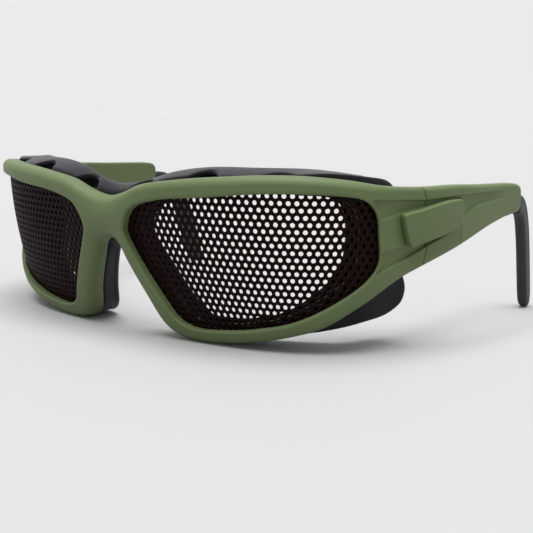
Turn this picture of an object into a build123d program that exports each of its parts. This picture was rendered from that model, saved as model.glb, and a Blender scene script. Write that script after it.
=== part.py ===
"""Mesh safety goggles: a wraparound frame with perforated steel lenses,
a one-piece face gasket and two folding temples with hooked rubber tips.

Millimetres, +Z up, +Y from the lenses back along the temples, +X towards the wearer's left.
The origin is the bottom centre of the goggles as they stand on a table, temples open.
Most places are given on the wrap: a station is a length along the front surface from
the bridge round to the side, a depth is measured inwards from that surface, and a
height is measured up from the bridge point.
"""

from build123d import *
from math import cos, pi, radians, sin
import os

# Overall sizes
half_width = 78.0
bridge_height = 32.2
bridge_back = 54.41

# Plan of the wrap: heading of the front surface in degrees, at equal steps from the bridge
wrap_headings = (0, 0.9, 3.4, 8.0, 15.2, 25.0, 37.2, 50.5, 63.5, 74.4, 81.3, 85.5, 88.0, 89.0, 89.4, 89.6)
face_tilt_share = 0.134
face_bow_radius = 99.0

# Crown: how far the front of the face stands forward of the plan, and the shares
# of the half width between which it fades out along the sides
crown_height = 2.3
crown_fade_shares = (0.94, 1.18)

# Stations of the splits along each side, as shares of the half width
post_share = 1.018
seam_share = 1.2244
step_share = 1.4103
arm_end_share = 1.8487
post_station = half_width * post_share
seam_station = half_width * seam_share
step_station = half_width * step_share
arm_end_station = half_width * arm_end_share
seam_gap = 0.3
step_gap = 0.1

# Front frame. Tables of the rim hold the inner and the outer edge of one section each,
# as shares of the post's station and of the rim's drop below the bridge.
rim_drop = 32.2
rim_depth = 7.0
wing_depth = 4.0
rim_round = 1.2
edge_round = 0.7
brow_edge_shares = (
    ((1, 0.214), (1, 0.351)),
    ((0.945, 0.239), (0.945, 0.376)),
    ((0.86, 0.267), (0.85, 0.404)),
    ((0.756, 0.276), (0.743, 0.416)),
    ((0.64, 0.28), (0.623, 0.416)),
    ((0.542, 0.264), (0.516, 0.401)),
    ((0.46, 0.239), (0.422, 0.382)),
    ((0.353, 0.217), (0.302, 0.354)),
    ((0.246, 0.183), (0.183, 0.307)),
    ((0.178, 0.143), (0.088, 0.233)),
)
bridge_edge_shares = (
    ((0.178, 0.143), (0.088, 0.233)),
    ((0.14, 0.099), (-0.019, 0.189)),
    ((0.107, -0.009), (-0.019, 0.016)),
    ((0.106, -0.124), (-0.019, -0.177)),
    ((0.122, -0.217), (0.042, -0.208)),
    ((0.144, -0.31), (0.063, -0.292)),
)
cheek_edge_shares = (
    ((0.144, -0.31), (0.063, -0.292)),
    ((0.171, -0.41), (0.093, -0.435)),
    ((0.2, -0.543), (0.125, -0.575)),
    ((0.227, -0.668), (0.154, -0.708)),
    ((0.253, -0.783), (0.184, -0.86)),
    ((0.285, -0.848), (0.227, -0.963)),
    ((0.34, -0.873), (0.321, -0.998)),
    ((0.409, -0.87), (0.409, -0.994)),
    ((0.516, -0.848), (0.529, -0.966)),
    ((0.63, -0.801), (0.655, -0.91)),
    ((0.732, -0.739), (0.762, -0.845)),
    ((0.812, -0.652), (0.85, -0.767)),
    ((0.888, -0.547), (0.919, -0.668)),
    ((0.948, -0.441), (0.97, -0.59)),
    ((1, -0.335), (1, -0.543)),
)

# Lenses, snapped into a groove round each eye opening. A row is a station share,
# and the lower and the upper edge as shares of the rim's drop.
groove_front = 2.6
groove_width = 0.8
groove_depth = 1.3
groove_step = 0.3
lens_thickness = 0.6
lens_steps = 6
hole_radius = 1.9
hole_pitch = 5.6
hole_row_pitch = 4.9
hole_margin = 3.2
hole_columns = 12
hole_rows = 8
hole_drop_share = 0.3
lens_shares = (
    (0.097, -0.13, -0.01), (0.115, -0.235, 0.062), (0.151, -0.342, 0.127), (0.189, -0.534, 0.165),
    (0.227, -0.711, 0.193), (0.258, -0.832, 0.214), (0.296, -0.885, 0.227), (0.353, -0.892, 0.239),
    (0.428, -0.888, 0.255), (0.529, -0.862, 0.276), (0.642, -0.82, 0.301), (0.756, -0.745, 0.3),
    (0.863, -0.612, 0.287), (0.938, -0.472, 0.262), (0.996, -0.36, 0.236),
)

# Sides. A row is a station share from the post to the seam, the height shares of the top,
# the upper groove, the middle ridge, the lower groove and the bottom, and the depth's share.
recess_depth = 0.8
ridge_depth = 0.3
recess_slope = 0.35
wing_shares = (
    (0, 0.351, 0.23, 0.087, -0.174, -0.348, -0.543, 1.75),
    (0.224, 0.335, 0.224, 0.096, -0.165, -0.311, -0.475, 1.65),
    (0.472, 0.326, 0.217, 0.112, -0.149, -0.27, -0.413, 1.45),
    (0.72, 0.318, 0.213, 0.127, -0.143, -0.227, -0.37, 1.2),
    (1, 0.314, 0.208, 0.143, -0.14, -0.177, -0.332, 1),
)
base_shares = (
    (0, 0.314, 0.208, 0.143, -0.14, -0.175, -0.331, 1),
    (0.3, 0.312, 0.21, 0.168, -0.106, -0.134, -0.289, 1),
    (0.65, 0.311, 0.213, 0.183, -0.062, -0.09, -0.25, 1),
    (1, 0.311, 0.214, 0.174, -0.028, -0.047, -0.211, 0.9),
)
# The arm's rows: station share, top, upper groove, swept ridge, bottom, share of the recess
arm_shares = (
    (0, 0.311, 0.214, -0.022, -0.211, 1), (0.16, 0.301, 0.213, 0.075, -0.165, 1),
    (0.305, 0.294, 0.211, 0.12, -0.124, 1), (0.44, 0.288, 0.21, 0.125, -0.09, 0.8),
    (0.56, 0.283, 0.205, 0.125, -0.062, 0.4), (0.73, 0.274, 0.193, 0.125, -0.035, 0.1),
    (0.88, 0.264, 0.174, 0.12, -0.025, 0.1), (0.96, 0.245, 0.152, 0.105, -0.022, 0.1),
    (1, 0.205, 0.13, 0.087, -0.012, 0.1),
)
arm_depth = 3.6

# Face gasket. Its front lies on the back of the rims and its lip on the face.
gasket_gap = 0.1
gasket_back = 15.2
gasket_wall = 2.2
gasket_lip = 1.6
gasket_flange_width = 3.2
gasket_flange = 1.3
gasket_round = 1.2
gasket_nose_relief = 3.0
gasket_nose_reach = 30.0
gasket_edge_shares = (
    ((0.208, 0.149), (0.113, 0.348)), ((0.271, 0.183), (0.239, 0.416)), ((0.378, 0.217), (0.377, 0.447)),
    ((0.542, 0.255), (0.576, 0.458)), ((0.705, 0.261), (0.798, 0.446)), ((0.844, 0.245), (0.972, 0.4)),
    ((0.913, 0.193), (1.068, 0.357)), ((0.945, 0.093), (1.117, 0.248)), ((0.957, -0.047), (1.14, 0.062)),
    ((0.957, -0.186), (1.145, -0.217)), ((0.945, -0.326), (1.171, -0.41)), ((0.913, -0.422), (1.189, -0.528)),
    ((0.869, -0.506), (1.176, -0.64)), ((0.819, -0.584), (1.115, -0.727)), ((0.749, -0.671), (0.995, -0.777)),
    ((0.655, -0.752), (0.836, -0.845)), ((0.529, -0.807), (0.655, -0.901)), ((0.416, -0.835), (0.491, -0.96)),
    ((0.334, -0.839), (0.348, -0.984)), ((0.287, -0.801), (0.252, -0.96)), ((0.256, -0.714), (0.194, -0.87)),
    ((0.227, -0.596), (0.151, -0.677)), ((0.191, -0.429), (0.101, -0.453)), ((0.154, -0.264), (0.048, -0.248)),
    ((0.128, -0.155), (-0.019, -0.193)), ((0.124, -0.1), (-0.019, -0.07)), ((0.123, -0.047), (-0.019, 0.062)),
    ((0.142, 0.04), (-0.019, 0.2)), ((0.165, 0.1), (-0.019, 0.298)),
)
vent_width = 9.5
vent_reach = 4.2
vent_shares = (0.13, 0.4, 0.665)
vent_floor = 10.0
vent_height = 6.0

# Hinges
hinge_reach = 1.8
hinge_station = seam_station + hinge_reach
hinge_depth = 7.0
lug_radius = 2.6
lug_height = 6.0
lug_split = 3.0
lug_gap = 0.05
lug_root_depth = 3.2
frame_lug_far = 6.6
frame_lug_near = 3.2
base_lug_far = 5.0
base_lug_near = 0.9
screw_radius = 0.8
screw_reach = 5.9
bore_clearance = 0.05
screw_head_radius = 1.5
screw_head_height = 0.8
screw_slot_width = 0.4
screw_slot_depth = 0.35

# Tongues that hold the arm on its base and the tip on its arm
tongue_height = 3.6
tongue_length = 6.0
tongue_root = 1.0
tongue_end_play = 0.3
tongue_front = 1.5
tongue_back = 3.0
tongue_play = 0.05
step_tongue_middle = 2.2
tip_tongue_middle = 2.0

# Hooked rubber tips
tip_reach = 21.5
tip_drop = 37.0
tip_top = 4.8
tip_thickness = 3.2
tip_middle_depth = 2.1
tip_lean = 14.0
tip_round = 1.0
tip_gap = 0.1
tip_outline_shares = (
    (-0.1, -0.005), (0.05, 0), (0.23, 0.022), (0.45, 0.1), (0.66, 0.265), (0.82, 0.51), (0.95, 0.78), (0.995, 0.9),
    (0.96, 0.97), (0.87, 1), (0.75, 0.96), (0.66, 0.86), (0.56, 0.66), (0.43, 0.42), (0.27, 0.235), (0.1, 0.165),
    (-0.1, 0.15),
)

# Hinge covers. A row is a station share along the cover, and its bottom and top.
cover_reach = 9.7
cover_length = 22.4
cover_rise = 1.9
cover_gap = 0.15
cover_bevel = 0.5
cover_play = 0.02
cover_shares = (
    (0, -0.012, 0.096), (0.055, -0.118, 0.11), (0.13, -0.158, 0.118), (0.29, -0.132, 0.138),
    (0.45, -0.112, 0.158), (0.64, -0.087, 0.178), (0.78, -0.065, 0.187), (0.9, -0.04, 0.189),
    (1, -0.003, 0.178),
)
peg_radius = 1.0
peg_shoulder_radius = 1.7
peg_length = 1.6
first_peg = 1.1
second_peg = 4.7
peg_height = 1.0
peg_play = 0.05


def chain(headings):
    """Points one unit step apart, each step taken along the mean of two headings."""
    points = [(0.0, 0.0)]
    for first, second in zip(headings, headings[1:]):
        along = radians((first + second) / 2)
        x, y = points[-1]
        points.append((x + cos(along), y + sin(along)))
    return points


unit_plan = chain(wrap_headings)
wrap_step = half_width / unit_plan[-1][0]
last_heading = radians(wrap_headings[-1])
with BuildLine() as plan_line:
    Spline([(x * wrap_step, y * wrap_step) for x, y in unit_plan],
           tangents=((1, 0), (cos(last_heading), sin(last_heading))))
plan_curve = plan_line.edge()


def lean(height):
    """How far the front surface lies behind its plan at a height."""
    return -face_tilt_share * height + height * height / (2 * face_bow_radius)


def crown(reach):
    """How far the front stands forward of the plan, fading out along the side."""
    start, end = (share * half_width for share in crown_fade_shares)
    faded = min(max((reach - start) / (end - start), 0), 1)
    return crown_height * (1 + cos(pi * faded)) / 2


def plan_at(station):
    """Front point of a station at bridge height, and the direction its depth is measured in."""
    reach = abs(station)
    point = plan_curve.position_at(reach, PositionMode.LENGTH)
    along = plan_curve.tangent_at(reach, PositionMode.LENGTH)
    side = -1 if station < 0 else 1
    inward = Vector(-side * along.Y, along.X, 0)
    return Vector(side * point.X, point.Y - bridge_back, bridge_height) - inward * crown(reach), inward


def wrap_point(station, depth, height):
    """Point in the row's frame of a station, a depth and a height."""
    origin, inward = plan_at(station)
    return origin + inward * (depth + lean(height) * inward.Y) + Vector(0, 0, height)


def rim_point(share):
    """Station and height of a pair of shares."""
    return share[0] * post_station, share[1] * rim_drop


def edge_section(pair, profile):
    """Plane of a section between an inner and an outer edge, with its profile.
    The profile's first places are measured from the inner edge, its second inwards."""
    (inner_s, inner_z), (outer_s, outer_z) = rim_point(pair[0]), rim_point(pair[1])
    inner = wrap_point(inner_s, 0, inner_z)
    across = wrap_point(outer_s, 0, outer_z) - inner
    middle = (inner_s + outer_s) / 2
    inward = plan_at(middle)[1]
    plane = Plane(origin=inner, x_dir=across, z_dir=across.cross(inward))
    slant, deep = inward.dot(plane.x_dir), inward.dot(plane.y_dir)
    return plane, [(u + v * slant, v * deep) for u, v in profile(across.length, middle)]


def side_section(station, outline):
    """Upright plane of a station, with an outline of depths and heights on it."""
    origin, inward = plan_at(station)
    plane = Plane(origin=origin, x_dir=inward, z_dir=inward.cross(Vector(0, 0, 1)))
    return plane, [(d + lean(z) * inward.Y, z) for d, z in outline]


def loft_polygons(sections, ruled=False):
    with BuildPart() as body:
        for plane, outline in sections:
            with BuildSketch(plane):
                with BuildLine():
                    Polyline(outline, close=True)
                make_face()
        loft(ruled=ruled)
    return body.part


def ring_of_polygons(sections):
    """Solid that runs through all the sections and back round to the first."""
    loops = []
    for plane, outline in sections:
        corners = [plane.from_local_coords(Vector(u, v)) for u, v in outline]
        loops.append([Edge.make_line(a, b) for a, b in zip(corners, corners[1:] + corners[:1])])
    walls = [
        Face.make_surface_from_curves(first, second)
        for here, there in zip(loops, loops[1:] + loops[:1])
        for first, second in zip(here, there)
    ]
    return Solid(Shell(walls))


def rim_profile(width, station):
    """Section of the rim, with the groove that the lens snaps into."""
    groove_back = groove_front + groove_width
    return [
        (0, edge_round), (edge_round, 0), (width - rim_round, 0), (width, rim_round),
        (width, rim_depth - edge_round), (width - edge_round, rim_depth), (groove_step, rim_depth),
        (groove_step, groove_back), (groove_depth, groove_back), (groove_depth, groove_front), (0, groove_front),
    ]


def gasket_profile(width, station):
    """Section of the gasket: a front flange, an outer wall and a lip on the face,
    which is let back by the nose."""
    front = rim_depth + gasket_gap
    away = min(station / gasket_nose_reach, 1)
    back = gasket_back - gasket_nose_relief * (1 + cos(pi * away)) / 2
    lip_front = back - gasket_lip
    wall_in = width - gasket_wall
    flange_in = width - gasket_flange_width
    return [
        (0, lip_front), (0, back - gasket_lip / 2), (gasket_lip / 2, back),
        (width - gasket_round, back), (width, back - gasket_round), (width, front),
        (flange_in, front), (flange_in, front + gasket_flange), (wall_in, front + gasket_flange),
        (wall_in, lip_front),
    ]


def side_profile(row):
    """Section of a wing or a base: two ribs, two recesses and the ridge between them."""
    top, upper, ridge_top, ridge_low, lower, bottom = [share * rim_drop for share in row[:6]]
    depth = row[6] * wing_depth
    slope = recess_slope
    return [
        (edge_round, top), (0, top - edge_round), (0, upper + slope), (recess_depth, upper),
        (recess_depth, ridge_top), (ridge_depth, ridge_top - slope), (ridge_depth, ridge_low + slope),
        (recess_depth, ridge_low), (recess_depth, lower), (0, lower - slope), (0, bottom + edge_round),
        (edge_round, bottom), (depth - edge_round, bottom), (depth, bottom + edge_round),
        (depth, top - edge_round), (depth - edge_round, top),
    ]


def arm_profile(row):
    """Section of an arm: the upper rib, the recess and the panel below it."""
    top, upper, ridge, bottom = [share * rim_drop for share in row[:4]]
    recess = row[4] * recess_depth
    depth = arm_depth
    return [
        (edge_round, top), (0, top - edge_round), (0, upper + recess_slope), (recess, upper),
        (recess, ridge), (0, ridge - recess_slope), (0, bottom + edge_round), (edge_round, bottom),
        (depth - edge_round, bottom), (depth, bottom + edge_round), (depth, top - edge_round),
        (depth - edge_round, top),
    ]


def cover_profile(row):
    """Section of a cover, bevelled round its outer face."""
    bottom, top = row[0] * rim_drop, row[1] * rim_drop
    outer = -cover_gap - cover_rise
    return [
        (-cover_gap, top), (outer + cover_bevel, top), (outer, top - cover_bevel),
        (outer, bottom + cover_bevel), (outer + cover_bevel, bottom), (-cover_gap, bottom),
    ]


def lens_profile(row):
    """Thin section of a lens, bowed with the front surface."""
    front = groove_front + (groove_width - lens_thickness) / 2
    low, high = row[0] * rim_drop, row[1] * rim_drop
    heights = [low + (high - low) * step / lens_steps for step in range(lens_steps + 1)]
    return [(front, z) for z in heights] + [(front + lens_thickness, z) for z in reversed(heights)]


def lens_holes():
    """Planes of a coarse staggered grid of openings, clear of the lens's edge."""
    planes = []
    for row in range(hole_rows):
        height = (hole_rows / 2 - row) * hole_row_pitch - rim_drop * hole_drop_share
        for column in range(hole_columns + 1):
            station = lens_shares[0][0] * post_station + hole_margin + (column + row % 2 / 2) * hole_pitch
            near = [
                (low * rim_drop, high * rim_drop) for share, low, high in lens_shares
                if abs(share * post_station - station) < hole_pitch
            ]
            inside = near and station < post_station - hole_margin
            if inside and max(n[0] for n in near) + hole_margin < height < min(n[1] for n in near) - hole_margin:
                planes.append(Plane(origin=wrap_point(station, groove_front, height), z_dir=plan_at(station)[1]))
    return planes


def table_sections(rows, start, end, profile):
    return [side_section(start + row[0] * (end - start), profile(row[1:])) for row in rows]


def mirrored(part):
    return mirror(part, about=Plane.YZ, mode=Mode.PRIVATE)


def save(part, name):
    part.label = name
    export_step(part, f"parts/{name}.step")


def save_pair(part, name):
    """Writes the left piece and its mirror image."""
    save(part, f"{name}_left")
    save(mirrored(part), f"{name}_right")


def lug(root, bend, low, high):
    """Hinge lug: a round eye on the hinge axis with a web to the inner face of the side.
    The bend is the way from the hinge back to the web's two corners."""
    corners = [
        (root[0], lug_root_depth), (root[1], lug_root_depth), (hinge_station - bend[0], hinge_depth - bend[1]),
        (hinge_station, hinge_depth), (hinge_station - bend[2], hinge_depth + bend[3]),
    ]
    with BuildPart() as eye:
        with BuildSketch(Plane.XY.offset(bridge_height + low)):
            with BuildLine():
                Polyline([(wrap_point(s, d, 0).X, wrap_point(s, d, 0).Y) for s, d in corners], close=True)
            make_face()
            with Locations((hinge.X, hinge.Y)):
                Circle(lug_radius)
                Circle(screw_radius + bore_clearance, mode=Mode.SUBTRACT)
        extrude(amount=high - low)
    return eye.part


def tongue(station, middle, length, play):
    """Flat tongue that runs from a section back into the piece before it."""
    origin, inward = plan_at(station)
    along = inward.cross(Vector(0, 0, 1))
    plane = Plane(origin=origin + along * tongue_root, x_dir=inward, z_dir=along)
    with BuildPart() as blade:
        with BuildSketch(plane):
            with Locations(((tongue_front + tongue_back) / 2 + lean(middle) * inward.Y, middle)):
                Rectangle(tongue_back - tongue_front + 2 * play, tongue_height + 2 * play)
        extrude(amount=-tongue_root - length)
    return blade.part


def peg(station, radius, start, end):
    """Round peg along the depth of a station."""
    origin = wrap_point(station, start, peg_height)
    with BuildPart() as pin:
        with BuildSketch(Plane(origin=origin, z_dir=plan_at(station)[1])):
            Circle(radius)
        extrude(amount=end - start)
    return pin.part


os.makedirs("parts", exist_ok=True)

hinge = wrap_point(hinge_station, hinge_depth, 0)
seam_low = seam_station - seam_gap / 2
seam_high = seam_station + seam_gap / 2
step_low = step_station - step_gap / 2
step_high = step_station + step_gap / 2
peg_stations = (hinge_station + first_peg, hinge_station + second_peg)

# Front frame: both rims, the bridge and the two side wings, in one moulding
frame_lug_root = (hinge_station - frame_lug_far, hinge_station - frame_lug_near)
frame_lug_bend = (lug_radius * 0.6, lug_radius * 0.78, lug_radius * 0.85, lug_radius * 0.5)
with BuildPart() as frame_half:
    add(loft_polygons([edge_section(pair, rim_profile) for pair in brow_edge_shares]))
    add(loft_polygons([edge_section(pair, rim_profile) for pair in bridge_edge_shares], ruled=True))
    add(loft_polygons([edge_section(pair, rim_profile) for pair in cheek_edge_shares]))
    add(loft_polygons(table_sections(wing_shares, post_station, seam_low, side_profile)))
    split(bisect_by=Plane.YZ)
    add(lug(frame_lug_root, frame_lug_bend, lug_split + lug_gap, lug_height))
    add(lug(frame_lug_root, frame_lug_bend, -lug_height, -lug_split - lug_gap))
with BuildPart() as front_frame:
    add(frame_half.part)
    mirror(about=Plane.YZ)
save(front_frame.part, "front_frame")

# Lenses, each a thin sheet bent with the wrap, with a coarse grid for its perforation
with BuildPart() as lens:
    add(loft_polygons(table_sections(lens_shares, 0, post_station, lens_profile)))
    with Locations(*lens_holes()):
        Cylinder(hole_radius, rim_depth, mode=Mode.SUBTRACT)
save_pair(lens.part, "mesh_lens")

# Face gasket: one rubber moulding round both eyes and over the nose
with BuildPart() as gasket_half:
    add(ring_of_polygons([edge_section(pair, gasket_profile) for pair in gasket_edge_shares]))
    split(bisect_by=Plane.YZ)
    for share in vent_shares:
        start, inward = plan_at(share * post_station)
        across = inward.cross(Vector(0, 0, 1))
        vent_plane = Plane(origin=start + Vector(0, 0, vent_floor), x_dir=across, z_dir=(0, 0, 1))
        with BuildSketch(vent_plane):
            with Locations((0, rim_depth + gasket_gap + vent_reach / 2)):
                Rectangle(vent_width, vent_reach)
        extrude(amount=vent_height, mode=Mode.SUBTRACT)
with BuildPart() as gasket:
    add(gasket_half.part)
    mirror(about=Plane.YZ)
save(gasket.part, "gasket")

# Temple bases, from the seam with the frame to the seam with the arm
base_lug_root = (hinge_station + base_lug_far, hinge_station - base_lug_near)
base_lug_bend = (lug_radius * 0.5, lug_radius * 0.85, lug_radius * -0.85, lug_radius * 0.5)
with BuildPart() as base:
    add(loft_polygons(table_sections(base_shares, seam_high, step_low, side_profile)))
    add(lug(base_lug_root, base_lug_bend, -lug_split, lug_split))
    add(tongue(step_low, step_tongue_middle, tongue_length + tongue_end_play, tongue_play), mode=Mode.SUBTRACT)
    for station in peg_stations:
        add(peg(station, peg_radius + peg_play, -cover_gap, peg_length + peg_play), mode=Mode.SUBTRACT)
save_pair(base.part, "temple_base")

# Temple arms
with BuildPart() as arm:
    add(loft_polygons(table_sections(arm_shares, step_high, arm_end_station, arm_profile)))
    add(tongue(step_high, step_tongue_middle, tongue_length, 0))
    add(tongue(arm_end_station, tip_tongue_middle, tongue_length + tongue_end_play, tongue_play), mode=Mode.SUBTRACT)
save_pair(arm.part, "temple_arm")

# Hooked tips: a flat hook, leaning inwards from the end of the arm
tip_start = arm_end_station + tip_gap
tip_root, tip_inward = plan_at(tip_start)
tip_along = tip_inward.cross(Vector(0, 0, 1))
tip_heading = tip_along.rotate(Axis.Z, tip_lean)
tip_plane = Plane(
    origin=tip_root + tip_inward * tip_middle_depth + Vector(0, 0, tip_top), x_dir=tip_heading,
    z_dir=tip_heading.cross(Vector(0, 0, 1)),
)
with BuildPart() as tip:
    with BuildSketch(tip_plane):
        with BuildLine():
            outline = Spline([(u * tip_reach, -v * tip_drop) for u, v in tip_outline_shares])
            Line(outline @ 1, outline @ 0)
        make_face()
    extrude(amount=tip_thickness / 2, both=True)
    fillet(tip.faces().filter_by(tip_plane).edges(), tip_round)
    split(bisect_by=Plane(origin=tip_root, z_dir=tip_along))
    add(tongue(tip_start, tip_tongue_middle, tongue_length, 0))
save_pair(tip.part, "temple_tip")

# Hinge covers, pegged to the bases and reaching forward over the seam
cover_start = seam_station - cover_reach
with BuildPart() as cover:
    add(loft_polygons(table_sections(cover_shares, cover_start, cover_start + cover_length, cover_profile)))
    for station in peg_stations:
        add(peg(station, peg_shoulder_radius, -cover_gap - cover_bevel, ridge_depth - cover_play))
        add(peg(station, peg_radius, -cover_gap, peg_length))
save_pair(cover.part, "hinge_cover")

# Hinge screws
with BuildPart() as screw:
    with BuildSketch(Plane(origin=hinge + Vector(0, 0, -screw_reach))):
        Circle(screw_radius)
    extrude(amount=screw_reach + lug_height)
    with BuildSketch(Plane(origin=hinge + Vector(0, 0, lug_height))):
        Circle(screw_head_radius)
    extrude(amount=screw_head_height)
    with BuildSketch(Plane(origin=hinge + Vector(0, 0, lug_height + screw_head_height))):
        Rectangle(screw_head_radius * 2, screw_slot_width)
    extrude(amount=-screw_slot_depth, mode=Mode.SUBTRACT)
save_pair(screw.part, "hinge_screw")
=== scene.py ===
"""Mesh safety goggles: smooth moulded skins, perforated lenses and studio round the CAD part.

Most pieces are worked out on the wrap, in millimetres: a station along the front surface
from the bridge round to the side, a height above the bridge point and a depth inwards.
Each of them is a field, negative inside the piece, that a grid samples for its surface.
"""

import math

import bpy
import numpy as np
from mathutils import Matrix, Vector
from mathutils.geometry import delaunay_2d_cdt


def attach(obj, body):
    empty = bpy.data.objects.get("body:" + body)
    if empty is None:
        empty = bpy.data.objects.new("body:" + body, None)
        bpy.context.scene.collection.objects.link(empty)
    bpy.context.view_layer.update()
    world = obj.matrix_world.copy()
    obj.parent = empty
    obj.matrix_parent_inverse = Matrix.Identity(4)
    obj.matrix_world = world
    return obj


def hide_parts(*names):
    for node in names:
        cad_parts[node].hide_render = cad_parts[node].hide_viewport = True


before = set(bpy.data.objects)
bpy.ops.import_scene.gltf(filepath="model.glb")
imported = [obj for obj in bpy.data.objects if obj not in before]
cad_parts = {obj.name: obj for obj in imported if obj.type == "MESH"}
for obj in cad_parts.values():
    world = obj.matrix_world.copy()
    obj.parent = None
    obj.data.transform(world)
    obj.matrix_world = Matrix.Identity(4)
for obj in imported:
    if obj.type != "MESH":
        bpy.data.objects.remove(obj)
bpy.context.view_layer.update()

MM = 0.001

# The wrap: headings in plan at equal steps, lean and crown of the front, and stations of the cuts

HALF_WIDTH = 78.0
BRIDGE_BACK = 54.41
BRIDGE_HEIGHT = 32.2
HEADINGS = (0, 0.9, 3.4, 8.0, 15.2, 25.0, 37.2, 50.5, 63.5, 74.4, 81.3, 85.5, 88.0, 89.0, 89.4, 89.6)
PLAN_SAMPLES = 3001
TILT = 0.134
BOW = 99.0
CROWN = 2.3
CROWN_FADE_SHARES = (0.94, 1.18)
SEAM = 95.5
SEAM_BEND = [(-11, -0.9), (-4, 0.8), (4, 0.2), (6.5, -0.3), (10.3, -2.2)]
SEAM_GAP = 0.07
ARM_START = 110.0
ARM_GAP = 0.04
ARM_END = 144.2
CUT_ROUND = 0.3

# Outlines, as points of (station, height)

TOP = [
    (0, 6.1), (7, 7.4), (14, 9.8), (27.9, 11.8), (39.8, 12.8), (50.6, 13.4), (60.4, 13.3), (71.3, 12.3),
    (82.2, 10.6), (94.2, 9.8), (109.2, 9.6), (119.2, 9.1), (131.2, 8.65), (139.8, 8.25), (142.7, 7.7),
    (143.9, 6.6), (144.2, 5.0), (144.3, 2.6), (144.1, 0.8), (142.9, -0.2),
]
BOTTOM = [
    (0, -5.6), (3.3, -6.7), (6.0, -11.5), (11.1, -20.6), (15.3, -28.5), (19.5, -31.3), (27.6, -32.2),
    (41.8, -31.0), (55.1, -28.6), (66.4, -25.3), (75.7, -19.8), (84.7, -14.3), (95.4, -10.6),
    (108.6, -7.2), (125.2, -2.8), (134.1, -1.1),
]
OPENING = [
    (8.1, -2.5), (9.7, -7.0), (13.1, -13.2), (18.0, -21.5), (20.9, -25.9), (25.8, -28), (37.4, -27.7),
    (48.5, -26.1), (58.1, -23.8), (68.2, -18.9), (77.2, -12.3), (79.6, -8.5), (79.2, -2), (78.1, 4),
    (75.0, 7.3), (68.0, 8.6), (50.8, 9), (36.5, 7.7), (19.2, 5.9), (11.3, 3.2),
]
COVER = [
    (85.8, 3.4), (92.2, 4.4), (99.2, 5.6), (105.1, 6.1), (107.8, 5.9), (108.3, 5.3), (108.3, 0.2),
    (106.7, -1.3), (100.8, -2.8), (92.8, -4.2), (89.5, -5), (88.4, -4.5), (86.7, -0.6), (85.7, 2.7),
]
GASKET_OUT = [
    (0, 8.9), (9, 10.2), (19, 12.9), (29.9, 14.3), (45.7, 14.52), (63.4, 14.2), (77.2, 12.9), (85.4, 11.5),
    (88.4, 9.2), (90.2, 5.5), (90.5, 0), (90.8, -7), (93, -13.2), (94.3, -17), (93.3, -20.6), (88.5, -23.4),
    (79, -25.0), (66.4, -27.2), (52, -29), (39, -30.9), (27.6, -31.6), (20, -30.7), (15.6, -28), (12, -21.8),
    (8, -14.6), (3.8, -8.2), (0, -6.4),
]
GASKET_IN = [
    (9.8, -1.5), (10.3, -5), (12.2, -8.5), (15.2, -13.8), (18.0, -19.2), (20.3, -23), (22.8, -25.8),
    (26.5, -27), (33, -26.9), (42, -26), (52, -24.2), (59.5, -21.6), (65, -18.8), (69, -16.3), (72.5, -13.6),
    (75, -10.5), (76, -6), (76, -1.5), (75, 3), (72.5, 6.2), (67, 7.9), (56, 8.4), (43, 8.2), (30, 7),
    (21.5, 5.9), (16.5, 4.8), (12.5, 3),
]

# The green mouldings: depths and edge radii. A change is (first station, last station, amount)

RIM_BACK = 5.5
RIM_THINNING = (28, 52, 0.5)
WING_THINNING = (79, 96, 1.0)
ARM_THINNING = (104, 112, 0.4)
OUTER_ROUND = 2.2
OUTER_ROUND_LOSS = (74, 86, 1.1)
OPENING_ROUND = 0.85
OPENING_ROUND_LOSS = (66, 76, 0.45)
ROUND_BLEND = 1.5
BACK_ROUND = 0.7
SADDLE_DEPTH = 1.9
SADDLE_WIDTH = 11.0
SADDLE_REACH = 6.0

# Relief of the sides: recesses between the ribs, and a panel in them that is let back less

UPPER_RIB = [(75, 7.7), (78.1, 7.5), (94.9, 6.6), (108.7, 6.9), (128.6, 6.9), (140, 6.6)]
LOWER_RIB = [
    (76, -12.4), (81.5, -10.5), (88.8, -8.1), (97, -5.1), (104, -3.1), (109.8, -1.1), (112, 0.3),
    (114.5, 1.9), (117, 3.0), (120.1, 3.7), (124, 4.0), (128.1, 4.0), (134, 4.6),
]
PANEL_TOP = [(78, 2.2), (80, 2.6), (86.3, 3.7), (95, 4.8), (108, 6.0), (111, 6.0)]
PANEL_LOW = [(78, -6.2), (81.8, -5.7), (88.6, -4.9), (98, -3.4), (108, -1.6), (111, -0.6)]
PANEL_END = (110.2, 110.7)
PANEL_DEPTH = 0.22
RECESS_EXTRA = 0.7
RIB_SLOPE = 0.3
RELIEF_BORDER = (0.35, 0.95)
RELIEF_START = (76.5, 78)
RELIEF_END = (122, 135)

# Lenses: places and sizes of the sheet and its round holes

LENS_DEPTH = 2.75
LENS_RISE = (40, 78, 1.5)
LENS_THICK = 0.5
LENS_LAP = 1.15
LENS_SIDE_GAP = 0.05
LENS_FRONT_GAP = 0.12
REBATE_ROUND = 0.2
PITCH = 2.1
ROW = 1.78
ROW_SHIFT = -0.4
HOLE_RADIUS = 0.62
HOLE_MARGIN = 0.2
HOLE_SIDES = 14

# Hinges: the axis, the eyes with their webs as (station, depth), and the lugs' lower and upper heights

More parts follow.
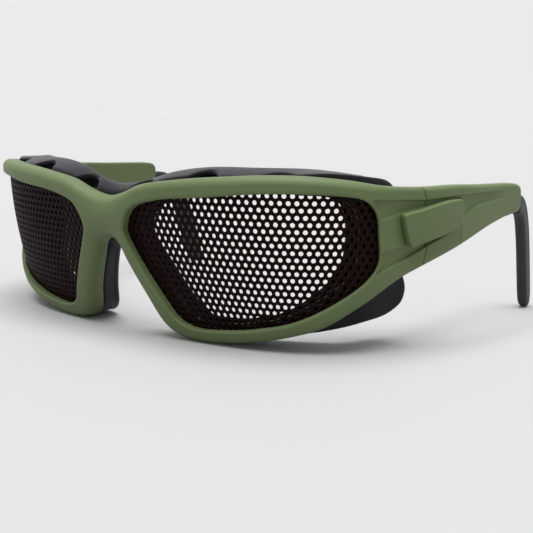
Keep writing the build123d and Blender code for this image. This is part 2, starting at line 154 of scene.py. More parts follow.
HINGE_S = 97.3
HINGE_D = 7.0
LEAN_AT_HINGE = 0.177
LUG_RADIUS = 2.6
LUG_BORE = 0.9
LUG_JOIN = 0.5
LUG_ROUND = 0.25
FRAME_WEB = [(90.7, 3.0), (94.1, 3.0), (95.74, 4.97), (HINGE_S, HINGE_D), (95.09, 8.3)]
FRAME_LUGS = ((3.05, 6.0), (-6.0, -3.05))
BASE_WEB = [(102.3, 3.0), (96.4, 3.0), (96.0, 4.79), (HINGE_S, HINGE_D), (99.5, 8.3)]
BASE_LUG = (-3.0, 3.0)

# Hinge covers and their pegs

COVER_FRONT = -2.05
COVER_BACK = -0.15
COVER_ROUND = 0.42
COVER_BACK_ROUND = 0.15
COVER_EDGE_DROP = 0.14
COVER_EDGE_WIDTH = 4.0
PEG_STATIONS = (98.4, 102.0)
PEG_HEIGHT = 1.0
PEG_RADIUS = 1.7
PEG_FRONT = -1.0
PEG_BACK = 0.28
PEG_JOIN = 0.2

# Gasket: a channel, open towards the eyes, with vents as (station, half width, reach)

GASKET_GAP = 0.05
GASKET_BACK = 13.7
GASKET_SIDE_REACH = (40, 65, 1.5)
NOSE_LET_BACK = 3.2
NOSE_WIDTH = 30
GASKET_FRONT_ROUND = 0.5
GASKET_BACK_ROUND = 1.0
FLARE = 1.7
FLARE_LOSS = (48, 70)
FLARE_HEIGHTS = (-12, -4)
FLARE_END = 2
FLARE_POWER = 1.4
LIP_OUT = 0.12
LIP_DEPTH = 1.8
LIP_FRONT_ROUND = 0.2
LIP_BACK_ROUND = 0.9
LIP_JOIN = 0.08
WALL = 1.4
FLANGE = 1.35
LIP_THICK = 1.6
CHANNEL_OVERRUN = 1.8
CHANNEL_ROUND = 0.5
VENTS = ((11.0, 4.8, 3.8), (32.6, 5.2, 3.9), (53.4, 5.4, 3.4))
VENT_BOTTOM = 7.5
VENT_STEEPNESS = 0.6
VENT_ROUND = 0.4

# Tips: the hook's outline from the arm's end, as (reach, height), and how it is set there

TIP = [
    (-1.2, 4.4), (1.1, 4.5), (4.9, 4.0), (9.7, 1.1), (14.2, -5.0), (17.6, -14.1), (20.4, -24.1),
    (21.3, -28.5), (20.6, -31.1), (18.7, -32.1), (16.1, -30.7), (14.2, -27), (12.0, -19.6), (9.2, -10.7),
    (5.8, -3.9), (2.2, -1.3), (-1.2, -0.8),
]
TIP_HALF_THICK = 1.6
TIP_ROUND = 1.3
TIP_START = 0.15
TIP_GAP = 0.1
TIP_DEPTH = 2.1
TIP_TURN = 14

# Grids: stations, heights and depths, each as a start and its (end, gap) spans

SIDE_DEPTHS = (-0.9, (1.3, 0.12), (5.1, 0.35))
LUG_DEPTHS = (2.6, (10.4, 0.2))
FRAME_GRID = (
    (0, (75, 0.3), (SEAM + 1.6, 0.16)), (-33.6, (-13, 0.3), (8, 0.16), (15, 0.3)),
    (-0.9, (1.3, 0.13), (7.8, 0.35)),
)
FRAME_LUG_GRID = ((89.5, (101, 0.2)), (-7.2, (7.2, 0.2)), LUG_DEPTHS)
BASE_GRID = ((SEAM - 3.2, (ARM_START + 0.6, 0.15)), (-14.4, (12.0, 0.15)), SIDE_DEPTHS)
BASE_LUG_GRID = ((94, (104, 0.2)), (-3.8, (3.8, 0.2)), LUG_DEPTHS)
ARM_GRID = ((ARM_START - 0.6, (ARM_END + 0.9, 0.17)), (-8.9, (11.4, 0.15)), SIDE_DEPTHS)
COVER_GRID = ((84.6, (109.6, 0.15)), (-6.6, (7.6, 0.14)), (-2.9, (0.6, 0.12)))
GASKET_GRID = ((0, (97, 0.36)), (-33.3, (16.2, 0.35)), (4.4, (16.2, 0.26)))
TIP_GRID = ((-2.0, (22.6, 0.25)), (-33.2, (5.8, 0.25)), (-2.2, (2.2, 0.2)))

# Curves and fields


def rise(x, first, last, amount=1.0):
    """A smooth rise from zero at the first place to an amount at the last, level beyond both."""
    x = np.clip((x - first) / (last - first), 0, 1)
    return amount * x * x * (3 - 2 * x)


def falloff(x):
    """Falls from one to zero as x goes from zero to one, level at both ends."""
    return (1 + np.cos(np.pi * np.clip(x, 0, 1))) / 2


def along(x, points):
    """The height of a line of points above x."""
    p = np.array(points)
    return np.interp(x, p[:, 0], p[:, 1])


def between(t, first, last, a, b):
    """The point at t on the line that is at a for the first value and at b for the last."""
    return ((last - t) * a + (t - first) * b) / (last - first)


def rounded_line(points, gap, closed):
    """A smooth line through the points (centripetal Catmull-Rom), about one gap apart."""
    p = np.array(points, float)
    if closed:
        p = np.vstack([p[-1], p, p[0], p[1]])
    else:
        p = np.vstack([2 * p[0] - p[1], p, 2 * p[-1] - p[-2]])
    out = []
    for a, b, c, d in zip(p, p[1:], p[2:], p[3:]):
        spans = [np.linalg.norm(v - u) ** 0.5 for u, v in ((a, b), (b, c), (c, d))]
        k = np.concatenate([[0], np.cumsum(spans)])
        n = max(2, int(np.linalg.norm(c - b) / gap))
        t = np.linspace(k[1], k[2], n, endpoint=False)[:, None]
        ab, bc = between(t, k[0], k[1], a, b), between(t, k[1], k[2], b, c)
        cd = between(t, k[2], k[3], c, d)
        abc, bcd = between(t, k[0], k[2], ab, bc), between(t, k[1], k[3], bc, cd)
        out.append(between(t, k[1], k[2], abc, bcd))
    out = np.vstack(out)
    return out if closed else np.vstack([out, p[-2]])


def both_ways(points):
    """Adds the mirror images of points that start on the middle plane."""
    return [(-s, z) for s, z in points[:0:-1]] + list(points)


def outline_distance(s, z, loop):
    """Signed distance to a closed loop, negative inside. s and z are arrays of one shape."""
    batch = 4000
    p = np.stack([s.ravel(), z.ravel()], 1).astype(np.float32)
    a = loop.astype(np.float32)
    b = np.roll(a, -1, 0)
    edge = b - a
    out = np.empty(len(p), np.float32)
    for i in range(0, len(p), batch):
        q = p[i:i + batch, None, :]
        t = np.clip(((q - a) * edge).sum(2) / np.maximum((edge * edge).sum(1), 1e-12), 0, 1)
        gap = q - a - t[..., None] * edge
        dist = np.sqrt((gap * gap).sum(2).min(1))
        crosses = (a[:, 1] > q[..., 1]) != (b[:, 1] > q[..., 1])
        with np.errstate(divide="ignore", invalid="ignore"):
            x = (b[:, 0] - a[:, 0]) * (q[..., 1] - a[:, 1]) / (b[:, 1] - a[:, 1]) + a[:, 0]
        inside = (crosses & (q[..., 0] < x)).sum(1) % 2 == 1
        out[i:i + batch] = np.where(inside, -dist, dist)
    return out.reshape(s.shape)


def rounded_corner(q, p, r):
    """The field of what is inside both q and p, with a corner of radius r."""
    q, p = q + r, p + r
    return np.hypot(np.maximum(q, 0), np.maximum(p, 0)) - r + np.minimum(np.maximum(q, p), 0)


def slab(e, d, front, back, round_front, round_back):
    """A plate from front to back with outline distance e and rounded edges on both faces."""
    in_front = rounded_corner(e, front - d, round_front)
    behind = rounded_corner(e, d - back, round_back)
    return np.where(d < (front + back) / 2, in_front, behind)


def smooth_max(a, b, r):
    """The larger of two fields, rounded off by r where they meet."""
    return np.maximum(a, b) + np.maximum(r - np.abs(a - b), 0) ** 2 / (4 * r)


def smooth_min(a, b, r):
    return -smooth_max(-a, -b, r)


# Grids and surfaces


def steps(start, *spans):
    """Places along one axis, from (end, gap) spans."""
    out = [np.array([start])]
    for end, gap in spans:
        n = max(1, round((end - start) / gap))
        out.append(np.linspace(start, end, n + 1)[1:])
        start = end
    return np.concatenate(out)


def grid(spans):
    """The axes of a grid, its stations and heights over both, and its depths as a third direction."""
    axes = [steps(*each) for each in spans]
    s, z = np.meshgrid(axes[0], axes[1], indexing="ij")
    return axes, s, z, axes[2][None, None, :]


def both_halves(field, axes):
    """A field that starts on the middle plane, and its axes, carried over to the other side."""
    stations = np.concatenate([-axes[0][:0:-1], axes[0]])
    return np.concatenate([field[:0:-1], field]), (stations, *axes[1:])


CORNERS = np.array([(i, j, k) for i in (0, 1) for j in (0, 1) for k in (0, 1)])
CELL_EDGES = [(m, n) for n in range(8) for m in range(n) if np.abs(CORNERS[n] - CORNERS[m]).sum() == 1]


def crossed_cells(low):
    """The grid's cells with corners on both sides of the surface, and a grid of their numbers."""
    nx, ny, nz = (n - 1 for n in low.shape)
    corners = [low[i:nx + i, j:ny + j, k:nz + k] for i, j, k in CORNERS]
    cells = np.argwhere(np.any(corners, 0) & ~np.all(corners, 0))
    number = np.full((nx, ny, nz), -1)
    number[tuple(cells.T)] = np.arange(len(cells))
    return cells, number


def cell_points(field, cells):
    """In each cell, the mean of the places where the surface crosses the cell's edges."""
    values = np.stack([field[tuple((cells + corner).T)] for corner in CORNERS], 1).astype(float)
    total, count = np.zeros(cells.shape), np.zeros(len(cells))
    for m, n in CELL_EDGES:
        a, b = values[:, m], values[:, n]
        hit = (a < 0) != (b < 0)
        t = np.where(hit, a / np.where(hit, a - b, 1), 0)
        total += np.where(hit[:, None], CORNERS[m] + t[:, None] * (CORNERS[n] - CORNERS[m]), 0)
        count += hit
    return cells + total / count[:, None]


def cell_quads(low, number, axis):
    """One quad for each of the grid's edges along an axis that the surface crosses, facing outwards."""
    u, v = [k for k in range(3) if k != axis]
    edges = np.argwhere(np.diff(low, axis=axis))
    for k in (u, v):
        edges = edges[(edges[:, k] > 0) & (edges[:, k] < low.shape[k] - 1)]
    quads = []
    for du, dv in ((1, 1), (0, 1), (0, 0), (1, 0)):
        cell = edges.copy()
        cell[:, u] -= du
        cell[:, v] -= dv
        quads.append(number[tuple(cell.T)])
    quads = np.stack(quads, 1)
    starts_inside = low[tuple(edges.T)]
    turned = starts_inside if axis == 1 else ~starts_inside
    quads[turned] = quads[turned][:, ::-1]
    return quads


def surface(field, axes):
    """Surface nets: vertices in the grid's own coordinates, and quads."""
    low = field < 0
    cells, number = crossed_cells(low)
    place = cell_points(field, cells)
    verts = np.stack([np.interp(place[:, k], np.arange(len(axes[k])), axes[k]) for k in range(3)], 1)
    return verts, [np.vstack([cell_quads(low, number, axis) for axis in range(3)])]


# The wrap


def plan_curve():
    """The wrap in plan: stations, points and tangents of a cubic spline through equal steps."""
    h = np.radians(HEADINGS)
    mean = (h[1:] + h[:-1]) / 2
    knots = np.vstack([[0, 0], np.cumsum(np.stack([np.cos(mean), np.sin(mean)], 1), 0)])
    step = HALF_WIDTH / knots[-1, 0]
    knots *= step
    n = len(knots)
    equations = 4 * np.eye(n) + np.eye(n, k=1) + np.eye(n, k=-1)
    known = np.zeros((n, 2))
    known[1:-1] = 3 * (knots[2:] - knots[:-2]) / step
    for end in (0, -1):
        equations[end] = np.eye(n)[end]
        known[end] = math.cos(h[end]), math.sin(h[end])
    slope = np.linalg.solve(equations, known) * step
    t = np.linspace(0, n - 1, PLAN_SAMPLES)
    i = np.minimum(t.astype(int), n - 2)
    f = (t - i)[:, None]
    point = (
        (2 * f**3 - 3 * f**2 + 1) * knots[i] + (f**3 - 2 * f**2 + f) * slope[i]
        + (3 * f**2 - 2 * f**3) * knots[i + 1] + (f**3 - f**2) * slope[i + 1]
    )
    length = np.concatenate([[0], np.cumsum(np.linalg.norm(np.diff(point, axis=0), axis=1))])
    tangent = np.gradient(point, length, axis=0)
    tangent /= np.linalg.norm(tangent, axis=1)[:, None]
    return length, point, tangent


PLAN_S, PLAN_P, PLAN_T = plan_curve()


def lean(z):
    """How far the front leans back at a height, over the bridge point."""
    return -TILT * z + z * z / (2 * BOW)


def crown(s):
    """How far the front stands forward of the plan line, fading out along the side."""
    first, last = CROWN_FADE_SHARES
    return CROWN * falloff((np.abs(s) / HALF_WIDTH - first) / (last - first))


def wrap(s, z, d):
    """Row-frame place, in metres, of stations, heights and depths."""
    reach, side = np.abs(s), np.where(s < 0, -1.0, 1.0)
    x = np.interp(reach, PLAN_S, PLAN_P[:, 0])
    y = np.interp(reach, PLAN_S, PLAN_P[:, 1])
    tx = np.interp(reach, PLAN_S, PLAN_T[:, 0])
    ty = np.interp(reach, PLAN_S, PLAN_T[:, 1])
    inward = d - crown(s) + lean(z) * tx
    return np.stack([side * (x - ty * inward), y + tx * inward - BRIDGE_BACK, z + BRIDGE_HEIGHT], -1) * MM


def wrapped(field, axes):
    """The surface of a field on the wrap, with its vertices in metres."""
    verts, faces = surface(field, axes)
    return wrap(*verts.T), faces


# Pieces


def mirrored(verts, faces):
    """The same piece on the other side of the middle plane."""
    return verts * np.array([-1.0, 1.0, 1.0]), [f[:, ::-1] for f in faces]


def join(*parts):
    """One set of vertices and faces from several."""
    faces, start = [], 0
    for verts, part_faces in parts:
        faces += [f + start for f in part_faces]
        start += len(verts)
    return np.vstack([verts for verts, _ in parts]), faces


def new_piece(name, shape, body, node, material, smooth=True):
    """A mesh piece of (vertices, faces) that rides on a body and stands for a CAD node."""
    verts, faces = shape
    mesh = bpy.data.meshes.new(name)
    mesh.vertices.add(len(verts))
    mesh.vertices.foreach_set("co", np.asarray(verts, np.float32).ravel())
    sizes = np.concatenate([np.full(len(f), f.shape[1]) for f in faces])
    mesh.loops.add(int(sizes.sum()))
    mesh.loops.foreach_set("vertex_index", np.concatenate([f.ravel() for f in faces]).astype(np.int32))
    mesh.polygons.add(len(sizes))
    mesh.polygons.foreach_set("loop_start", np.concatenate([[0], np.cumsum(sizes)[:-1]]).astype(np.int32))
    mesh.update(calc_edges=True)
    mesh.validate()
    mesh.polygons.foreach_set("use_smooth", np.full(len(mesh.polygons), smooth))
    mesh.materials.append(material)
    obj = bpy.data.objects.new(name, mesh)
    bpy.context.scene.collection.objects.link(obj)
    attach(obj, body)
    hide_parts(node)


def side_pair(name, shape, node, material):
    """The left piece and its mirror image, one on each temple."""
    new_piece(f"{name}_left", shape, "temple_left", f"{node}_left", material)
    new_piece(f"{name}_right", mirrored(*shape), "temple_right", f"{node}_right", material)


# Materials

TONE_SCALE = 55
COARSE_GRAIN_SHARE = 1 / 9
SHEEN_TINT = (0.93, 0.90, 1.0, 1)


def new_material(name):
    """A material with its node tree and its main shader."""
    m = bpy.data.materials.new(name)
    m.use_nodes = True
    return m, m.node_tree, m.node_tree.nodes["Principled BSDF"]


def noise(tree, scale, detail, rough=0.5):
    """A noise over the object's own coordinates."""
    coord = tree.nodes.new("ShaderNodeTexCoord")
    n = tree.nodes.new("ShaderNodeTexNoise")
    n.inputs["Scale"].default_value = scale
    n.inputs["Detail"].default_value = detail
    n.inputs["Roughness"].default_value = rough
    tree.links.new(coord.outputs["Object"], n.inputs["Vector"])
    return n.outputs["Fac"]


def ramp(tree, value, low, high):
    """A blend of two colours over the middle of a noise's range."""
    r = tree.nodes.new("ShaderNodeValToRGB")
    for element, position, colour in zip(r.color_ramp.elements, (0.3, 0.7), (low, high)):
        element.position = position
        element.color = (*colour, 1)
    tree.links.new(value, r.inputs["Fac"])
    return r.outputs["Color"]


def bump(tree, shader, layers):
    """Adds bump layers of (height socket, distance in metres, strength)."""
    last = None
    for height, distance, strength in layers:
        b = tree.nodes.new("ShaderNodeBump")
        b.inputs["Distance"].default_value = distance
        b.inputs["Strength"].default_value = strength
        tree.links.new(height, b.inputs["Height"])
        if last:
            tree.links.new(last, b.inputs["Normal"])
        last = b.outputs["Normal"]
    tree.links.new(last, shader.inputs["Normal"])


def grained(tree, shader, rough, specular, grain, grain_depth):
    """A finish with a fine grain in its roughness, and with fine and coarse grain in its relief."""
    fine = noise(tree, scale=grain, detail=4, rough=0.6)
    coarse = noise(tree, scale=grain * COARSE_GRAIN_SHARE, detail=2)
    low, high = ((value,) * 3 for value in rough)
    tree.links.new(ramp(tree, fine, low, high), shader.inputs["Roughness"])
    shader.inputs["Specular IOR Level"].default_value = specular
    bump(tree, shader, [(fine, grain_depth, 0.6), (coarse, grain_depth * 2, 0.3)])


def surface_material(name, dark, light, rough, specular, grain, grain_depth, metallic=0.0, sheen=0.0):
    """A moulded, coated or drawn surface, with a broad tone between a dark and a light colour."""
    m, tree, shader = new_material(name)
    tone = noise(tree, scale=TONE_SCALE, detail=3)
    tree.links.new(ramp(tree, tone, dark, light), shader.inputs["Base Color"])
    grained(tree, shader, rough, specular, grain, grain_depth)
    shader.inputs["Metallic"].default_value = metallic
    shader.inputs["Sheen Weight"].default_value = sheen
    shader.inputs["Sheen Tint"].default_value = SHEEN_TINT
    return m


green = surface_material(
    "moulded_green", dark=(0.158, 0.214, 0.090), light=(0.172, 0.231, 0.099), rough=(0.44, 0.54),
    specular=0.38, grain=2600, grain_depth=0.000012,
)
mesh_steel = surface_material(
    "coated_mesh", dark=(0.009, 0.0025, 0.0016), light=(0.014, 0.005, 0.0036), rough=(0.5, 0.6),
    specular=0.06, grain=1800, grain_depth=0.00001,
)
black_rubber = surface_material(
    "gasket_rubber", dark=(0.006, 0.005, 0.008), light=(0.009, 0.0078, 0.0115), rough=(0.34, 0.42),
    specular=0.13, grain=2000, grain_depth=0.00001, sheen=0.29,
)
grey_rubber = surface_material(
    "tip_rubber", dark=(0.028, 0.028, 0.030), light=(0.036, 0.036, 0.038), rough=(0.55, 0.65),
    specular=0.4, grain=2200, grain_depth=0.000014,
)
steel = surface_material(
    "screw_steel", dark=(0.38, 0.37, 0.36), light=(0.46, 0.45, 0.44), rough=(0.25, 0.38),
    specular=0.5, grain=1500, grain_depth=0.000006, metallic=1.0,
)

# What the green mouldings share

side_loop = np.vstack([
    rounded_line(both_ways(TOP), gap=1.0, closed=False),
    rounded_line(both_ways(BOTTOM), gap=1.0, closed=False)[::-1],
])
opening_loop = rounded_line(OPENING, gap=0.9, closed=True)


def relief(s, z, b):
    """How far the front of the side is let back, at distance b from the opening."""
    recess = rise(along(s, UPPER_RIB) - z, 0, RIB_SLOPE) * rise(z - along(s, LOWER_RIB), 0, RIB_SLOPE)
    beside_panel = np.maximum(z - along(s, PANEL_TOP), along(s, PANEL_LOW) - z)
    outside_panel = np.maximum(rise(beside_panel, -RIB_SLOPE / 2, RIB_SLOPE / 2), rise(s, *PANEL_END))
    fade = rise(b, *RELIEF_BORDER) * rise(s, *RELIEF_START) * (1 - rise(s, *RELIEF_END))
    return recess * (PANEL_DEPTH + RECESS_EXTRA * outside_panel) * fade


def rim_back(s):
    """Depth of the back of the rims, greatest at the bridge."""
    return RIM_BACK - rise(s, *RIM_THINNING)


def lens_depth(s):
    """Depth of the front of a lens, which comes forward towards the outer end of its opening."""
    return LENS_DEPTH - rise(s, *LENS_RISE)


def side_field(s, z, d):
    """The green moulding of the whole wrap, before it is cut at the seams."""
    a = outline_distance(s, z, side_loop)
    b = outline_distance(s, z, opening_loop)
    saddle = np.exp(-((s / SADDLE_WIDTH) ** 2)) * (1 - np.clip(-a / SADDLE_REACH, 0, 1)) ** 2
    front = relief(s, z, b) + SADDLE_DEPTH * saddle
    back = rim_back(s) - rise(s, *WING_THINNING) - rise(s, *ARM_THINNING)
    outer_round = OUTER_ROUND - rise(s, *OUTER_ROUND_LOSS)
    opening_round = OPENING_ROUND - rise(s, *OPENING_ROUND_LOSS)
    outer_share = rise(a + b, -ROUND_BLEND, ROUND_BLEND)
    round_front = opening_round + outer_share * (outer_round - opening_round)
    edge = np.maximum(a, -b)[..., None]
    body = slab(edge, d, front[..., None], back[..., None], round_front[..., None], BACK_ROUND)
    beside_lens = (b - LENS_LAP - LENS_SIDE_GAP)[..., None]
    rebate = np.maximum(beside_lens, (lens_depth(s) - LENS_FRONT_GAP)[..., None] - d)
    return smooth_max(body, -rebate, REBATE_ROUND)


def seam_at(z):
    """Station of the slightly bent seam between the frame and the temple's base."""
    return SEAM + along(z, SEAM_BEND)


def lug(spans, web, low, high):
    """A hinge lug: an eye round the hinge axis and a web to the side, between two heights."""
    axes, s, z, d = grid(spans)
    from_axis = np.hypot(s[..., None] - HINGE_S, d - HINGE_D + lean(z)[..., None] * LEAN_AT_HINGE)
    plate = outline_distance(*np.broadcast_arrays(s[:, :1], d[0]), np.array(web, float))
    shape = smooth_min(from_axis - LUG_RADIUS, plate[:, None, :], LUG_JOIN)
    shape = np.maximum(shape, LUG_BORE - from_axis)
    height = np.maximum(low - z, z - high)[..., None]
    return wrapped(rounded_corner(shape, height, LUG_ROUND), axes)


# Front frame


def frame_moulding():
    """Rims, bridge and wings, cut off at the seams, with two lugs a side."""
    axes, s, z, d = grid(FRAME_GRID)
    half = smooth_max(side_field(s, z, d), (s - seam_at(z) + SEAM_GAP)[..., None], CUT_ROUND)
    lugs = [lug(FRAME_LUG_GRID, FRAME_WEB, *heights) for heights in FRAME_LUGS]
    return join(wrapped(*both_halves(half, axes)), *lugs, *[mirrored(*part) for part in lugs])


new_piece("frame_moulding", frame_moulding(), "frame", "front_frame", green)

# Temple bases and arms


def base_moulding():
    """The side from the seam to the arm, with the lug that goes between the frame's two."""
    axes, s, z, d = grid(BASE_GRID)
    ends = np.maximum(seam_at(z) + SEAM_GAP - s, s - ARM_START + ARM_GAP)
    shell = wrapped(smooth_max(side_field(s, z, d), ends[..., None], CUT_ROUND), axes)
    return join(shell, lug(BASE_LUG_GRID, BASE_WEB, *BASE_LUG))


def arm_moulding():
    """The rest of the side, up to its rounded end."""
    axes, s, z, d = grid(ARM_GRID)
    return wrapped(smooth_max(side_field(s, z, d), (ARM_START + ARM_GAP - s)[..., None], CUT_ROUND), axes)


side_pair("base_moulding", base_moulding(), "temple_base", green)
side_pair("arm_moulding", arm_moulding(), "temple_arm", green)

# Hinge covers


def cover_moulding():
    """A block with a slightly sunk edge, and two pegs that go into the base."""
    axes, s, z, d = grid(COVER_GRID)
    c = outline_distance(s, z, rounded_line(COVER, gap=0.6, closed=True))
    drop = COVER_EDGE_DROP * (1 - np.clip(-c / COVER_EDGE_WIDTH, 0, 1)) ** 2
    front = (COVER_FRONT + drop)[..., None]
    body = slab(c[..., None], d, front, COVER_BACK, COVER_ROUND, COVER_BACK_ROUND)
    for station in PEG_STATIONS:
        peg = np.hypot(s - station, z - PEG_HEIGHT)[..., None] - PEG_RADIUS
        body = smooth_min(body, np.maximum(np.maximum(peg, PEG_FRONT - d), d - PEG_BACK), PEG_JOIN)
    return wrapped(body, axes)


side_pair("cover_moulding", cover_moulding(), "hinge_cover", green)

# Face gasket


def gasket_moulding():
    """A flange on the rims, a sloping wall and a rear lip, with arched vents behind the brows."""
    axes, s, z, d = grid(GASKET_GRID)
    front = rim_back(s)[..., None] + GASKET_GAP
    back = GASKET_BACK + rise(s, *GASKET_SIDE_REACH) - NOSE_LET_BACK * falloff(s / NOSE_WIDTH)
    back = back[..., None]
    flare = FLARE * (1 - rise(s, *FLARE_LOSS)) * rise(z, *FLARE_HEIGHTS)
    slope = (1 - np.clip((d - front) / (back - FLARE_END - front), 0, 1)) ** FLARE_POWER
    outer_points = GASKET_OUT + [(-s, z) for s, z in GASKET_OUT[-2:0:-1]]
    outer_loop = rounded_line(outer_points, gap=1.0, closed=True)
    inner_loop = rounded_line(GASKET_IN, gap=0.9, closed=True)
    outside = outline_distance(s, z, outer_loop)[..., None] + flare[..., None] * slope
    inside = -outline_distance(s, z, inner_loop)[..., None]
    wall = np.maximum(outside, inside)
    body = slab(wall, d, front, back, GASKET_FRONT_ROUND, GASKET_BACK_ROUND)
    lip = slab(wall - LIP_OUT, d, back - LIP_DEPTH, back - LIP_OUT, LIP_FRONT_ROUND, LIP_BACK_ROUND)
    body = smooth_min(body, lip, LIP_JOIN)
    channel = np.maximum(outside + WALL, inside - CHANNEL_OVERRUN)
    channel = np.maximum(channel, np.maximum(front + FLANGE - d, d - back + LIP_THICK))
    body = smooth_max(body, -channel, CHANNEL_ROUND)
    for station, half_width, reach in VENTS:
        arch = reach * (1 - ((s - station) / half_width) ** 2)
        notch = np.maximum((d - front - arch[..., None]) * VENT_STEEPNESS, (VENT_BOTTOM - z)[..., None])
        body = smooth_max(body, -notch, VENT_ROUND)
    return wrapped(*both_halves(body, axes))


new_piece("gasket_moulding", gasket_moulding(), "frame", "gasket", black_rubber)

# Perforated lenses


def lens_border():
    """The edge of a lens, outside its opening. The opening's points run anticlockwise."""
    rim = rounded_line(OPENING, gap=0.8, closed=True)
    edge = np.roll(rim, -1, 0) - np.roll(rim, 1, 0)
    outward = np.stack([edge[:, 1], -edge[:, 0]], 1) / np.linalg.norm(edge, axis=1)[:, None]
    return rim + LENS_LAP * outward


def hole_centres(border):
    """Staggered rows of places that leave room for a whole hole inside the border."""
    low, high = border.min(0), border.max(0)
    columns = range(math.floor(low[0] / PITCH), math.ceil(high[0] / PITCH) + 1)
    rows = range(math.floor(low[1] / ROW), math.ceil(high[1] / ROW) + 1)
    centres = np.array([((i + 0.5 * (j % 2)) * PITCH, j * ROW + ROW_SHIFT) for j in rows for i in columns])
    clear = outline_distance(centres[:, 0], centres[:, 1], border)
    return centres[clear < -HOLE_RADIUS - HOLE_MARGIN]


def perforated_sheet(border, centres):
    """Points and triangles of the flat sheet, all of them turned the same way."""
    turn = np.linspace(0, 2 * np.pi, HOLE_SIDES, endpoint=False)
    circle = HOLE_RADIUS * np.stack([np.cos(turn), np.sin(turn)], 1)
    points = np.vstack([border, *[c + circle for c in centres]])
    starts = range(len(border), len(points), HOLE_SIDES)
    loops = [list(range(len(border)))] + [list(range(start, start + HOLE_SIDES)) for start in starts]
    made = delaunay_2d_cdt([Vector(p) for p in points], [], loops, 2, 1e-6)
    flat = np.array([tuple(v) for v in made[0]])
    tris = np.array(made[2])
    u, v, w = flat[tris[:, 0]], flat[tris[:, 1]], flat[tris[:, 2]]
    turned = (v[:, 0] - u[:, 0]) * (w[:, 1] - u[:, 1]) < (v[:, 1] - u[:, 1]) * (w[:, 0] - u[:, 0])
    tris[turned] = tris[turned][:, ::-1]
    return flat, tris


def bent_sheet(flat, tris):
    """Front, back and walls of the sheet, bent to the wrap."""
    n = len(flat)
    depth = lens_depth(flat[:, 0])
    front = wrap(flat[:, 0], flat[:, 1], depth)
    back = wrap(flat[:, 0], flat[:, 1], depth + LENS_THICK)
    directed = np.vstack([tris[:, [0, 1]], tris[:, [1, 2]], tris[:, [2, 0]]]).tolist()
    seen = {(a, b) for a, b in directed}
    a, b = np.array([(a, b) for a, b in directed if (b, a) not in seen]).T
    walls = np.stack([b, a, a + n, b + n], 1)
    return np.vstack([front, back]), [tris, tris[:, ::-1] + n, walls]


border = lens_border()
lens = bent_sheet(*perforated_sheet(border, hole_centres(border)))
for side, shape in (("left", lens), ("right", mirrored(*lens))):
    node = f"mesh_lens_{side}"
    new_piece(f"perforated_lens_{side}", shape, "frame", node, mesh_steel, smooth=False)

# Hooked tips


def tip_moulding():
    """The hook, drawn flat, then stood on the arm's end and turned a little inwards."""
    axes, u, v, w = grid(TIP_GRID)
    hook = outline_distance(u, v, rounded_line(TIP, gap=0.8, closed=True))[..., None]
    body = slab(hook, w, -TIP_HALF_THICK, TIP_HALF_THICK, TIP_ROUND, TIP_ROUND)
    verts, faces = surface(smooth_max(body, (TIP_START - u)[..., None], CUT_ROUND), axes)
    root = wrap(ARM_END + TIP_GAP, 0.0, TIP_DEPTH)
    turn = np.interp(ARM_END, PLAN_S, np.arctan2(PLAN_T[:, 1], PLAN_T[:, 0])) + math.radians(TIP_TURN)
    heading = (math.cos(turn), math.sin(turn), 0)
    inward = (-math.sin(turn), math.cos(turn), 0)
    return root + verts @ np.array([heading, (0, 0, 1), inward]) * MM, faces


side_pair("tip_moulding", tip_moulding(), "temple_tip", grey_rubber)

# Hinge screws keep their CAD shape

for side in ("left", "right"):
    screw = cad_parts[f"hinge_screw_{side}"]
    screw.data.materials.clear()
    screw.data.materials.append(steel)

# Studio

FLOOR_RADIUS = 9
FLOOR_GREY = 0.36
FLOOR_SHOWN_GREY = 0.70
SUN_STRENGTH = 2.6
SUN_ANGLE = 50
SUN_TURN = (7, 3, 0)
WORLD_GREY = 0.80
WORLD_STRENGTH = 0.42
WORLD_SHOWN_GREY = 0.83


def grey(value):
    return value, value, value, 1


def seen_directly(tree):
    """One for the camera's rays, also by way of a mirror or a glass, and zero for light on the object."""
    path = tree.nodes.new("ShaderNodeLightPath")
    last = path.outputs["Is Camera Ray"]
    for kind in ("Is Glossy Ray", "Is Transmission Ray"):
        either = tree.nodes.new("ShaderNodeMath")
        either.operation = "MAXIMUM"
        tree.links.new(last, either.inputs[0])
        tree.links.new(path.outputs[kind], either.inputs[1])
        last = either.outputs["Value"]
    return last


def studio_floor():
    bpy.ops.mesh.primitive_circle_add(vertices=96, radius=FLOOR_RADIUS, fill_type="NGON", location=(0, 0, 0))
    floor = bpy.context.object
    floor.name = "floor"
    paint, tree, shader = new_material("floor_paint")
    grained(tree, shader, rough=(0.6, 0.7), specular=0.2, grain=300, grain_depth=0.00002)
    mix = tree.nodes.new("ShaderNodeMix")
    mix.data_type = "RGBA"
    mix.inputs["A"].default_value = grey(FLOOR_GREY)
    mix.inputs["B"].default_value = grey(FLOOR_SHOWN_GREY)
    tree.links.new(seen_directly(tree), mix.inputs["Factor"])
    tree.links.new(mix.outputs["Result"], shader.inputs["Base Color"])
    floor.data.materials.append(paint)


def studio_sun():
    sun = bpy.data.objects.new("sun", bpy.data.lights.new("sun", "SUN"))
    sun.data.energy = SUN_STRENGTH
    sun.data.angle = math.radians(SUN_ANGLE)
    sun.rotation_euler = [math.radians(turn) for turn in SUN_TURN]
    bpy.context.scene.collection.objects.link(sun)


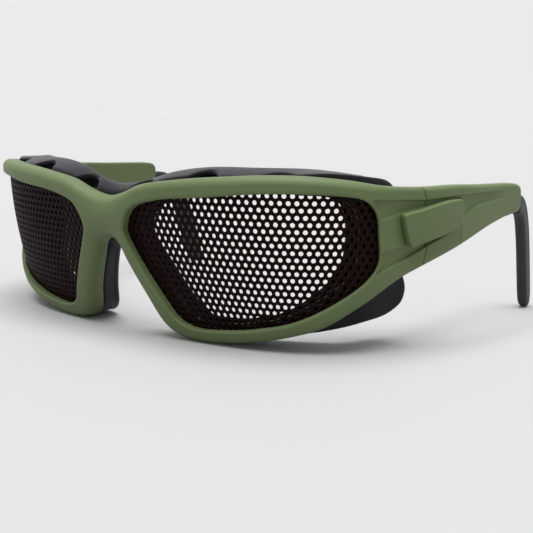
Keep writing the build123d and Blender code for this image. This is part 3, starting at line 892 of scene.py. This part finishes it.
def studio_world():
    world = bpy.data.worlds.new("studio")
    world.use_nodes = True
    bpy.context.scene.world = world
    tree = world.node_tree
    light = tree.nodes["Background"]
    light.inputs["Color"].default_value = grey(WORLD_GREY)
    light.inputs["Strength"].default_value = WORLD_STRENGTH
    shown = tree.nodes.new("ShaderNodeBackground")
    shown.inputs["Color"].default_value = grey(WORLD_SHOWN_GREY)
    shown.inputs["Strength"].default_value = 1.0
    mix = tree.nodes.new("ShaderNodeMixShader")
    tree.links.new(seen_directly(tree), mix.inputs["Fac"])
    tree.links.new(light.outputs["Background"], mix.inputs[1])
    tree.links.new(shown.outputs["Background"], mix.inputs[2])
    tree.links.new(mix.outputs["Shader"], tree.nodes["World Output"].inputs["Surface"])


studio_floor()
studio_sun()
studio_world()

# Camera at the photograph's angle, with its focal length in the photograph's pixels

AZIMUTH = math.radians(39.661)
ELEVATION = math.radians(9.401)
ROLL = math.radians(0.148)
PHOTO_WIDTH = 533
FOCAL_PIXELS = 980.488
SENSOR_WIDTH = 36
EYE_FROM_BRIDGE = (202.5, -176.03, 30.51)


def photo_camera():
    level = Vector((math.sin(AZIMUTH), -math.cos(AZIMUTH), 0))
    backward = math.cos(ELEVATION) * level + Vector((0, 0, math.sin(ELEVATION)))
    across = Vector((0, 0, 1)).cross(backward).normalized()
    upward = backward.cross(across)
    right = math.cos(ROLL) * across + math.sin(ROLL) * upward
    up = -math.sin(ROLL) * across + math.cos(ROLL) * upward
    eye = (Vector(EYE_FROM_BRIDGE) + Vector((0, -BRIDGE_BACK, BRIDGE_HEIGHT))) * MM
    camera = bpy.data.objects.new("camera", bpy.data.cameras.new("camera"))
    camera.data.sensor_width = SENSOR_WIDTH
    camera.data.lens = FOCAL_PIXELS / PHOTO_WIDTH * SENSOR_WIDTH
    camera.data.clip_start, camera.data.clip_end = 0.01, 20
    camera.matrix_world = Matrix((
        (right.x, up.x, backward.x, eye.x), (right.y, up.y, backward.y, eye.y),
        (right.z, up.z, backward.z, eye.z), (0, 0, 0, 1),
    ))
    bpy.context.scene.collection.objects.link(camera)
    bpy.context.scene.camera = camera


photo_camera()
bpy.context.scene.view_settings.view_transform = "Standard"
